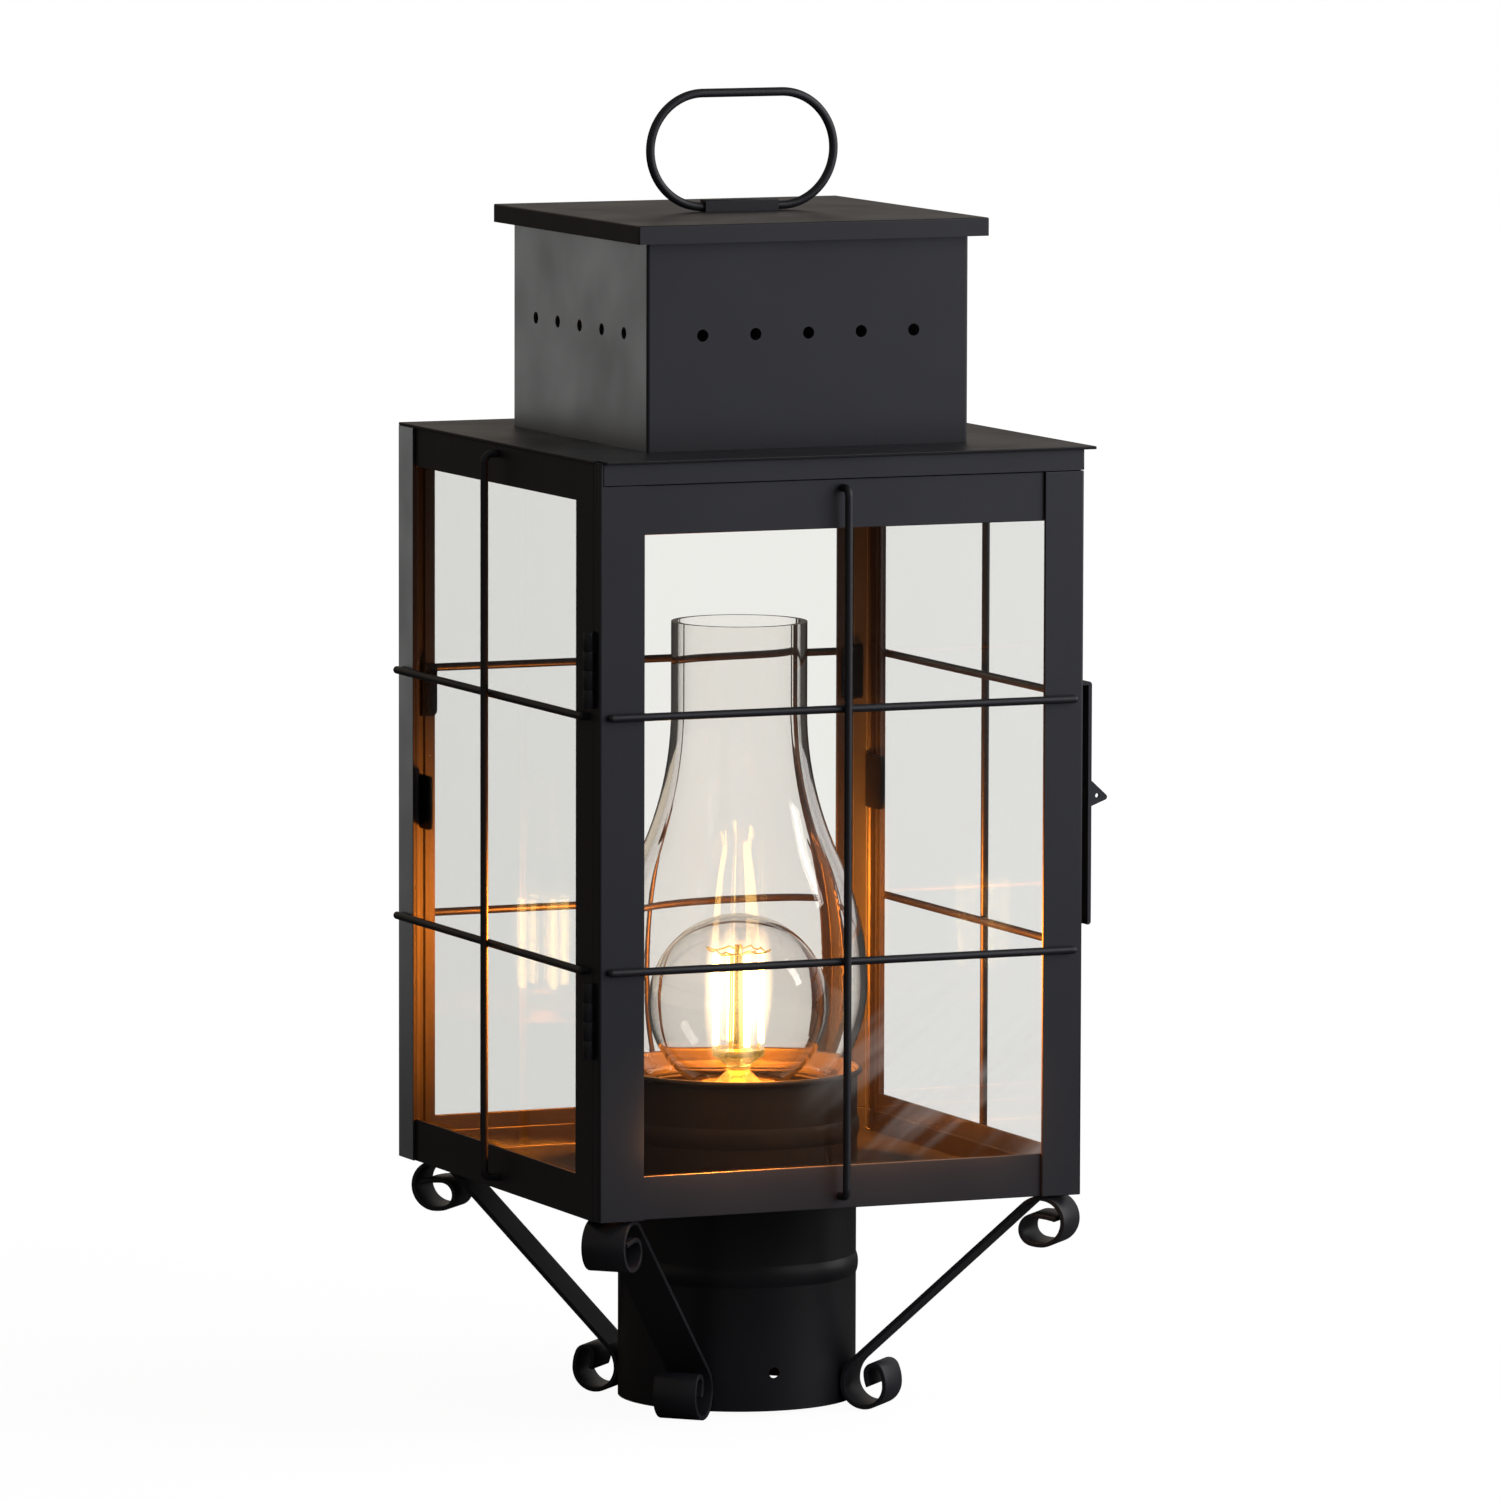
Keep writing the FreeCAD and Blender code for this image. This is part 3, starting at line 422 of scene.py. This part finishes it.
wiped = clear_glass("wiped_window_glass", pane_colour, pane_ior, pane_shade)
tree = wiped.node_tree
where = add(tree, "ShaderNodeTexCoord").outputs["Object"]
swept = add(tree, "ShaderNodeMapping", {"Vector": where, "Rotation": (0.0, streak_slope, 0.0),
                                        "Scale": (streak_length, 1.0, streak_width)},
            vector_type="TEXTURE")
streak = add(tree, "ShaderNodeTexNoise", {"Vector": swept.outputs[0], "Scale": 1.0,
                                          "Detail": 2.0})
band = add(tree, "ShaderNodeMapRange", {"Value": streak.outputs["Fac"], "From Min": 0.45,
                                        "From Max": 0.75, "To Min": 0.0,
                                        "To Max": film_most}, interpolation_type="SMOOTHSTEP")
spot = add(tree, "ShaderNodeVectorMath", {0: where, 1: film_place}, operation="DISTANCE")
patch = add(tree, "ShaderNodeMapRange", {"Value": spot.outputs["Value"],
                                         "From Min": film_inner, "From Max": film_outer,
                                         "To Min": 1.0, "To Max": 0.0},
            interpolation_type="SMOOTHSTEP")
film = add(tree, "ShaderNodeMath", {0: band.outputs["Result"], 1: patch.outputs["Result"]},
           operation="MULTIPLY")
# Painted light: the film glows faintly on its own, in place of the lamp light it scatters.
painted_film_glow = add(tree, "ShaderNodeEmission", {"Color": linear("#f4f0ec"), "Strength": 0.75})
lay_over(wiped, "ShaderNodeMixShader", 1, {0: film.outputs[0], 2: painted_film_glow.outputs[0]})
dress(["door_pane"], wiped)


# Chimney. Blown borosilicate glass, clear and nearly without tint, with a wall of about two
# millimetres. It stands loose on its seat, over the bulb.
dress(["glass_chimney"], clear_glass("borosilicate_glass", "#fefcfa", 1.47, "#fcfaf8"))


# Cap and holder. A nickel-plated brass screw cap, smeared by handling, in a holder of
# white porcelain with a shiny glaze, down in the tube.
smear_size, speck_size = 0.004, 0.006

plated, tree = new_material("nickel_plated_brass")
where = add(tree, "ShaderNodeTexCoord").outputs["Object"]
smear = add(tree, "ShaderNodeTexNoise", {"Vector": where, "Scale": 1 / smear_size,
                                         "Detail": 3.0})
rough = add(tree, "ShaderNodeMapRange", {"Value": smear.outputs["Fac"], "To Min": 0.18,
                                         "To Max": 0.34})
plating = add(tree, "ShaderNodeBsdfPrincipled", {"Base Color": linear("#c9c5bc"),
                                                 "Metallic": 1.0,
                                                 "Roughness": rough.outputs["Result"]})
add(tree, "ShaderNodeOutputMaterial", {"Surface": plating.outputs[0]})
dress(["bulb_cap"], plated)

porcelain, tree = new_material("glazed_porcelain")
where = add(tree, "ShaderNodeTexCoord").outputs["Object"]
speck = add(tree, "ShaderNodeTexNoise", {"Vector": where, "Scale": 1 / speck_size,
                                         "Detail": 3.0})
tone = add(tree, "ShaderNodeMix", {"Factor": speck.outputs["Fac"], "A": linear("#dedbd2"),
                                   "B": linear("#f0ede6")}, data_type="RGBA")
glaze = add(tree, "ShaderNodeBsdfPrincipled", {"Base Color": tone.outputs[2],
                                               "Roughness": 0.15})
add(tree, "ShaderNodeOutputMaterial", {"Surface": glaze.outputs[0]})
dress(["lampholder"], porcelain)


# Bulb. A blown globe of clear glass. Its near wall carries a painted glow, a soft halo around
# each of the four filament sticks, which is how a lens shows something so bright.
filament_low, filament_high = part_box("bulb_filaments")
centre = (filament_low + filament_high) / 2
circle = 0.0080
stick_angles = [math.radians(-2.7 + 90.0 * i) for i in range(4)]
halo_lift = 0.0005
halo_half_height, halo_half_width = 0.0165, 0.0036
halo_full, halo_none = 0.2, 2.2
halo_power = 1.5

globe = clear_glass("clear_bulb_glass", "#fffdfb", 1.5, "#fffdfb")
tree = globe.node_tree
where = add(tree, "ShaderNodeTexCoord").outputs["Object"]
height = add(tree, "ShaderNodeSeparateXYZ", {"Vector": where}).outputs["Z"]
above = add(tree, "ShaderNodeMath", {0: height, 1: centre.z + halo_lift},
            operation="SUBTRACT").outputs[0]
rise = add(tree, "ShaderNodeMath", {0: above, 1: halo_half_height},
           operation="DIVIDE").outputs[0]
rise2 = add(tree, "ShaderNodeMath", {0: rise, 1: rise}, operation="MULTIPLY").outputs[0]
total = None
for angle in stick_angles:
    stick_foot = (centre.x + circle * math.cos(angle), centre.y + circle * math.sin(angle), 0.0)
    away = add(tree, "ShaderNodeVectorMath", {0: where, 1: stick_foot},
               operation="SUBTRACT").outputs[0]
    flat = add(tree, "ShaderNodeVectorMath", {0: away, 1: (1.0, 1.0, 0.0)},
               operation="MULTIPLY").outputs[0]
    reach = add(tree, "ShaderNodeVectorMath", {0: flat}, operation="LENGTH").outputs["Value"]
    out = add(tree, "ShaderNodeVectorMath", {0: flat}, operation="NORMALIZE").outputs[0]
    facing = add(tree, "ShaderNodeLayerWeight", {"Blend": 0.5, "Normal": out}).outputs["Facing"]
    along = add(tree, "ShaderNodeMath", {0: 1.0, 1: facing}, operation="SUBTRACT").outputs[0]
    along2 = add(tree, "ShaderNodeMath", {0: along, 1: along}, operation="MULTIPLY").outputs[0]
    across2 = add(tree, "ShaderNodeMath", {0: 1.0, 1: along2}, operation="SUBTRACT").outputs[0]
    width = add(tree, "ShaderNodeMath", {0: reach, 1: halo_half_width},
                operation="DIVIDE").outputs[0]
    width2 = add(tree, "ShaderNodeMath", {0: width, 1: width}, operation="MULTIPLY").outputs[0]
    apart = add(tree, "ShaderNodeMath", {0: across2, 1: width2, 2: rise2},
                operation="MULTIPLY_ADD").outputs[0]
    near = add(tree, "ShaderNodeMapRange", {"Value": apart, "From Min": halo_full,
                                            "From Max": halo_none, "To Min": halo_power,
                                            "To Max": 0.0},
               interpolation_type="SMOOTHSTEP").outputs["Result"]
    total = add(tree, "ShaderNodeMath", {0: near, 1: total}).outputs[0] if total else near
inner_face = add(tree, "ShaderNodeNewGeometry").outputs["Backfacing"]
outer_face = add(tree, "ShaderNodeMath", {0: 1.0, 1: inner_face},
                 operation="SUBTRACT").outputs[0]
halo = add(tree, "ShaderNodeMath", {0: total, 1: outer_face}, operation="MULTIPLY").outputs[0]
# Painted light: the halo is glow on the glass itself, not light from a lamp.
shine = add(tree, "ShaderNodeEmission", {"Color": linear("#ffd9a0"), "Strength": halo})
lay_over(globe, "ShaderNodeAddShader", 0, {1: shine.outputs[0]})
dress(["bulb_glass"], globe)


# Stem. A drawn glass tube that holds the wires, pinched while hot, with streaks in it. The
# light of the filaments that the streaks catch is painted on as a faint amber glow. The
# streaks are drawn about two millimetres wide.
streak_size = 0.002
stem_glow_least, stem_glow_most = 0.05, 0.35

stem = clear_glass("drawn_stem_glass", "#fff0cc", 1.52, "#fff0cc")
tree = stem.node_tree
where = add(tree, "ShaderNodeTexCoord").outputs["Object"]
streaks = add(tree, "ShaderNodeTexNoise", {"Vector": where, "Scale": 1 / streak_size,
                                           "Detail": 2.0})
painted_streak_glow = add(tree, "ShaderNodeMapRange", {"Value": streaks.outputs["Fac"], "From Min": 0.3,
                                          "From Max": 0.7, "To Min": stem_glow_least,
                                          "To Max": stem_glow_most})
# Painted light: the streaks glow amber on their own, for the filament light they catch.
shine = add(tree, "ShaderNodeEmission", {"Color": linear("#e8bc60"),
                                         "Strength": painted_streak_glow.outputs["Result"]})
lay_over(stem, "ShaderNodeAddShader", 0, {1: shine.outputs[0]})
dress(["bulb_stem"], stem)
join_triangles("bulb_stem")


# Filament sticks. Four thin rods under a yellow phosphor coat, which glows all over. They
# stand upright on a circle round the stem. The coat's grain is drawn as coarse as it needs
# to show.
stick_radius = 0.0012
stick_length = 0.0310
phosphor_grain = 0.0010
glow_least, glow_most = 8.0, 12.0

glow, tree = new_material("glowing_phosphor_coat")
where = add(tree, "ShaderNodeTexCoord").outputs["Object"]
grain = add(tree, "ShaderNodeTexNoise", {"Vector": where, "Scale": 1 / phosphor_grain,
                                         "Detail": 1.0})
strength = add(tree, "ShaderNodeMapRange", {"Value": grain.outputs["Fac"],
                                            "To Min": glow_least, "To Max": glow_most})
shine = add(tree, "ShaderNodeEmission", {"Color": linear("#ffd27a"),
                                         "Strength": strength.outputs["Result"]})
add(tree, "ShaderNodeOutputMaterial", {"Surface": shine.outputs[0]})

sticks = []
for angle in stick_angles:
    at = Vector((centre.x + circle * math.cos(angle), centre.y + circle * math.sin(angle),
                 centre.z))
    bpy.ops.mesh.primitive_cylinder_add(vertices=16, radius=stick_radius, depth=stick_length,
                                        location=at)
    stick = bpy.context.object
    bpy.ops.object.modifier_add(type="BEVEL")
    stick.modifiers[0].width = stick_radius * 0.9
    stick.modifiers[0].segments = 4
    stick.modifiers[0].limit_method = "ANGLE"
    bpy.ops.object.modifier_apply(modifier=stick.modifiers[0].name)
    bpy.ops.object.transform_apply()
    bpy.ops.object.shade_smooth()
    stick.data.materials.append(glow)
    sticks.append(stick)
bpy.ops.object.select_all(action="DESELECT")
for stick in sticks:
    stick.select_set(True)
bpy.context.view_layer.objects.active = sticks[0]
bpy.ops.object.join()
filament_sticks = bpy.context.object
filament_sticks.name = "filament_sticks"
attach(filament_sticks, "lantern")
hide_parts("bulb_filaments")


# Filament wires. Drawn nickel wire, welded: a wavy ring on top of the sticks, short feet
# under them, and a cage round the stem that carries the ring. The warm light they catch
# from the sticks is painted on, as a warm tint and a faint glow of their own. The die's
# marks are drawn as coarse as they need to show.
ring_wire, lead_wire = 0.00030, 0.00026     # radii
ring_z = centre.z + stick_length / 2 - 0.0010
ring_wave = 0.0020
bowl_z = filament_low.z + 0.0002
foot_z = centre.z - stick_length / 2 + 0.001
tip_z = centre.z + stick_length / 2 - 0.002
foot_share, tip_share, arm_share = 0.82, 0.98, 0.97
cage_low, cage_high = 0.0030, 0.0026
cage_turn = 0.35
tip_lift, arm_lift = 0.0008, 0.0004
draw_marks = 0.0008

nickel, tree = new_material("drawn_nickel_wire")
where = add(tree, "ShaderNodeTexCoord").outputs["Object"]
drawn = add(tree, "ShaderNodeTexNoise", {"Vector": where, "Scale": 1 / draw_marks,
                                         "Detail": 2.0})
rough = add(tree, "ShaderNodeMapRange", {"Value": drawn.outputs["Fac"], "To Min": 0.30,
                                         "To Max": 0.46})
# Painted light: the warm base tint and the emission stand in for the sticks' light on the wire.
painted_glow_wire = add(tree, "ShaderNodeBsdfPrincipled", {"Base Color": linear("#ead3a4"),
                                                "Metallic": 1.0,
                                                "Roughness": rough.outputs["Result"],
                                                "Emission Color": linear("#e8b058"),
                                                "Emission Strength": 0.45})
add(tree, "ShaderNodeOutputMaterial", {"Surface": painted_glow_wire.outputs[0]})

bpy.ops.curve.primitive_nurbs_circle_add(radius=circle, location=(centre.x, centre.y, ring_z))
ring = bpy.context.object
bpy.ops.object.mode_set(mode="EDIT")
bpy.ops.curve.select_all(action="SELECT")
bpy.ops.curve.subdivide(number_cuts=1)
bpy.ops.curve.select_all(action="DESELECT")
for point in list(ring.data.splines[0].points)[::2]:
    point.select = True
bpy.ops.transform.translate(value=(0, 0, ring_wave))
bpy.ops.object.mode_set(mode="OBJECT")
ring.data.bevel_depth = ring_wire
ring.data.bevel_resolution = 2
bpy.ops.object.convert(target="MESH")
bpy.ops.object.transform_apply()

axis = Vector((centre.x, centre.y, 0))
up = Vector((0, 0, 1))
runs = []
for angle in stick_angles:
    out = Vector((math.cos(angle), math.sin(angle), 0)) * circle
    runs.append((axis + out * foot_share + up * bowl_z, axis + out + up * foot_z))
    runs.append((axis + out + up * tip_z, axis + out * tip_share + up * (ring_z + tip_lift)))
for i in range(6):
    angle = i * math.pi / 3 + cage_turn
    out = Vector((math.cos(angle), math.sin(angle), 0))
    runs.append((axis + out * cage_low + up * bowl_z, axis + out * cage_high + up * ring_z))
for angle in (cage_turn, math.pi + cage_turn):
    out = Vector((math.cos(angle), math.sin(angle), 0))
    runs.append((axis + out * cage_high + up * ring_z,
                 axis + out * circle * arm_share + up * (ring_z + arm_lift)))
leads = [ring]
for low, high in runs:
    bpy.ops.mesh.primitive_cylinder_add(vertices=10, radius=lead_wire,
                                        depth=(high - low).length,
                                        location=(low + high) / 2,
                                        rotation=(high - low).to_track_quat("Z", "Y").to_euler())
    bpy.ops.object.transform_apply()
    leads.append(bpy.context.object)
bpy.ops.object.select_all(action="DESELECT")
for lead in leads:
    lead.select_set(True)
bpy.context.view_layer.objects.active = ring
bpy.ops.object.join()
filament_wires = bpy.context.object
filament_wires.name = "filament_wires"
filament_wires.data.materials.clear()
filament_wires.data.materials.append(nickel)
bpy.ops.object.shade_smooth()
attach(filament_wires, "lantern")
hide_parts("bulb_filaments")


# Filament light. Three small lamps stand in for the sticks' own light, and one for what
# the door's pane throws back. They light the metal inside and not the glass, which would
# mirror them. The top one leaves out what is down in the tube.
lit_metal = case + door + body_leaves + pins + bars + rods + scrolls
inside = group("metal_lit_by_the_filaments",
               lit_metal + inner + ["post_fitter", "bulb_cap", "lampholder"])
beyond = group("metal_beyond_the_tube", lit_metal)
filament_amber = linear("#ff9838")[:3]
light_softness = 0.009
up_from, up_to, up_share = 0.1, 0.7, 0.25
down_from, down_to = -0.25, -0.65

for i, (rise, power, down_share) in enumerate(((-0.011, 2.8, 0.3), (0.003, 2.8, 0.3),
                                               (0.017, 8.5, 1.0))):
    bpy.ops.object.light_add(type="POINT", location=centre + Vector((0, 0, rise)))
    lamp = bpy.context.object
    lamp.name = "filament_light_" + str(i)
    lamp.light_linking.receiver_collection = beyond if i == 2 else inside
    lamp.data.energy = power
    lamp.data.color = filament_amber
    lamp.data.shadow_soft_size = light_softness
    lamp.visible_camera = False
    lamp.visible_transmission = False
    lamp.data.use_nodes = True
    tree = lamp.data.node_tree
    tree.nodes.clear()
    way = add(tree, "ShaderNodeTexCoord").outputs["Normal"]
    slope = add(tree, "ShaderNodeSeparateXYZ", {"Vector": way}).outputs["Z"]
    upwards = add(tree, "ShaderNodeMapRange", {"Value": slope, "From Min": up_from,
                                               "From Max": up_to, "To Min": 1.0,
                                               "To Max": up_share},
                  interpolation_type="SMOOTHSTEP")
    downwards = add(tree, "ShaderNodeMapRange", {"Value": slope, "From Min": down_from,
                                                 "From Max": down_to, "To Min": 1.0,
                                                 "To Max": down_share},
                    interpolation_type="SMOOTHSTEP")
    spread = add(tree, "ShaderNodeMath", {0: upwards.outputs["Result"],
                                          1: downwards.outputs["Result"]},
                 operation="MULTIPLY")
    shine = add(tree, "ShaderNodeEmission", {"Strength": spread.outputs[0]})
    add(tree, "ShaderNodeOutputLight", {"Surface": shine.outputs[0]})

thrown_back = flat_lamp("light_off_the_door_pane", (0, -0.080, 0.165), Vector((0, 1, -0.2)),
                        0.13, 0.15, 0.35, "#ffb478")
thrown_back.light_linking.receiver_collection = inside
